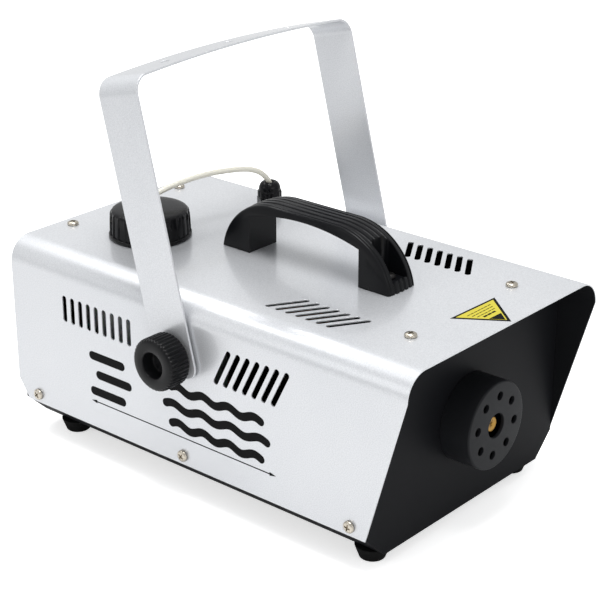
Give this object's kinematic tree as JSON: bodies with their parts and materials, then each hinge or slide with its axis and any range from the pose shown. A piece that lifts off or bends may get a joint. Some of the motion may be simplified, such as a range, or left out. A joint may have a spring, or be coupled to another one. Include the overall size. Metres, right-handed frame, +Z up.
{
  "type": "fog machine",
  "caption": "Fog machine: folded steel case with vent slots, carrying handle, tilting hanging yoke with knurled knobs, screw-capped tank and shrouded nozzle.",
  "frame": {"origin": "on the standing surface, under the middle of the case", "axes": "+Z up, -Y towards the nozzle, X across the width"},
  "size_m": [0.2442, 0.3428, 0.2843],
  "materials": {
    "silver_paint": "semi-gloss silver-grey enamel with a fine metallic fleck",
    "black_paint": "satin black",
    "shroud_black": "satin black, turned",
    "black_plastic": "satin moulded black",
    "gloss_black": "gloss moulded black",
    "screw_steel": "nickel-plated",
    "brass": "turned",
    "rubber": "matt",
    "tank_plastic": "milky blow-moulded",
    "tube_plastic": "translucent cream",
    "cast_aluminium": "as cast",
    "insulation": "ceramic fibre",
    "board_green": "solder mask",
    "copper_coil": "varnished winding"
  },
  "bodies": {
    "case": {"base_tray": "black_paint", "circuit_board": "board_green", "cover": "silver_paint", "fluid_tank": "tank_plastic", "fluid_tube": "tube_plastic", "foot_front_left": "rubber", "foot_front_right": "rubber", "foot_rear_left": "rubber", "foot_rear_right": "rubber", "friction_washer_left": "rubber", "friction_washer_right": "rubber", "front_panel": "black_paint", "gland_body": "gloss_black", "gland_locknut": "gloss_black", "gland_nut": "gloss_black", "handle": "black_plastic", "handle_screw_front": "screw_steel", "handle_screw_rear": "screw_steel", "heater_block": "cast_aluminium", "heater_bracket_front": "screw_steel", "heater_bracket_rear": "screw_steel", "heater_insulation": "insulation", "mains_inlet": "black_plastic", "nozzle": "brass", "nozzle_shroud": "shroud_black", "pivot_nut_left": "screw_steel", "pivot_nut_right": "screw_steel", "pump_body": "black_plastic", "pump_bracket": "screw_steel", "pump_coil": "copper_coil", "pump_inlet_hose": "tube_plastic", "pump_outlet_pipe": "brass", "rear_panel": "black_paint", "remote_socket": "black_plastic", "side_screw_left_front": "screw_steel", "side_screw_left_middle": "screw_steel", "side_screw_left_rear": "screw_steel", "side_screw_right_front": "screw_steel", "side_screw_right_middle": "screw_steel", "side_screw_right_rear": "screw_steel", "suction_filter": "cast_aluminium", "suction_tube": "tube_plastic", "switch_body": "black_plastic", "thermostat": "black_plastic", "top_screw_front_left": "screw_steel", "top_screw_front_right": "screw_steel", "top_screw_rear_left": "screw_steel", "top_screw_rear_right": "screw_steel"},
    "yoke": {"yoke": "silver_paint"},
    "washer_left": {"flat_washer_left": "screw_steel"},
    "knob_left": {"knob_left": "black_plastic", "knob_bolt_left": "screw_steel"},
    "washer_right": {"flat_washer_right": "screw_steel"},
    "knob_right": {"knob_right": "black_plastic", "knob_bolt_right": "screw_steel"},
    "cap_seal": {"cap_seal": "rubber"},
    "tank_cap": {"tank_cap": "gloss_black"},
    "switch_rocker": {"switch_rocker": "gloss_black"},
    "fuse_drawer": {"fuse_drawer": "black_plastic"},
    "pump_piston": {"pump_piston": "screw_steel"}
  },
  "joints": [
    {"name": "yoke_tilt", "type": "hinge", "parent": "case", "child": "yoke", "pos_m": [0, 0.0128, 0.103], "axis": [1, 0, 0], "range_deg": [-90, 84]},
    {"name": "knob_left_travel", "type": "slide", "parent": "case", "child": "washer_left", "axis": [-1, 0, 0], "range_m": [0, 0.0019]},
    {"name": "knob_left_turn", "type": "hinge", "parent": "washer_left", "child": "knob_left", "pos_m": [-0.1, 0.0128, 0.103], "axis": [-1, 0, 0], "range_deg": [0, 540]},
    {"name": "knob_right_travel", "type": "slide", "parent": "case", "child": "washer_right", "axis": [1, 0, 0], "range_m": [0, 0.0019]},
    {"name": "knob_right_turn", "type": "hinge", "parent": "washer_right", "child": "knob_right", "pos_m": [0.1, 0.0128, 0.103], "axis": [1, 0, 0], "range_deg": [0, 540]},
    {"name": "cap_lift", "type": "slide", "parent": "case", "child": "cap_seal", "axis": [0, 0, 1], "range_m": [0, 0.0031]},
    {"name": "cap_turn", "type": "hinge", "parent": "cap_seal", "child": "tank_cap", "pos_m": [-0.0318, 0.1038, 0.1436], "axis": [0, 0, 1], "range_deg": [0, 360]},
    {"name": "power_rocker", "type": "hinge", "parent": "case", "child": "switch_rocker", "pos_m": [0.026, 0.1643, 0.0952], "axis": [1, 0, 0], "range_deg": [0, 16]},
    {"name": "fuse_drawer_slide", "type": "slide", "parent": "case", "child": "fuse_drawer", "axis": [0, 1, 0], "range_m": [0, 0.012]},
    {"name": "pump_stroke", "type": "slide", "parent": "case", "child": "pump_piston", "axis": [0, 1, 0], "range_m": [0, 0.003], "stiffness_N_per_m": 300, "springref_m": -0.002}
  ],
  "couplings": [
    {"joint": "knob_left_travel", "follows": "knob_left_turn", "m_per_rad": 0.00019894},
    {"joint": "knob_right_travel", "follows": "knob_right_turn", "m_per_rad": 0.00019894},
    {"joint": "cap_lift", "follows": "cap_turn", "m_per_rad": 0.00047746}
  ]
}
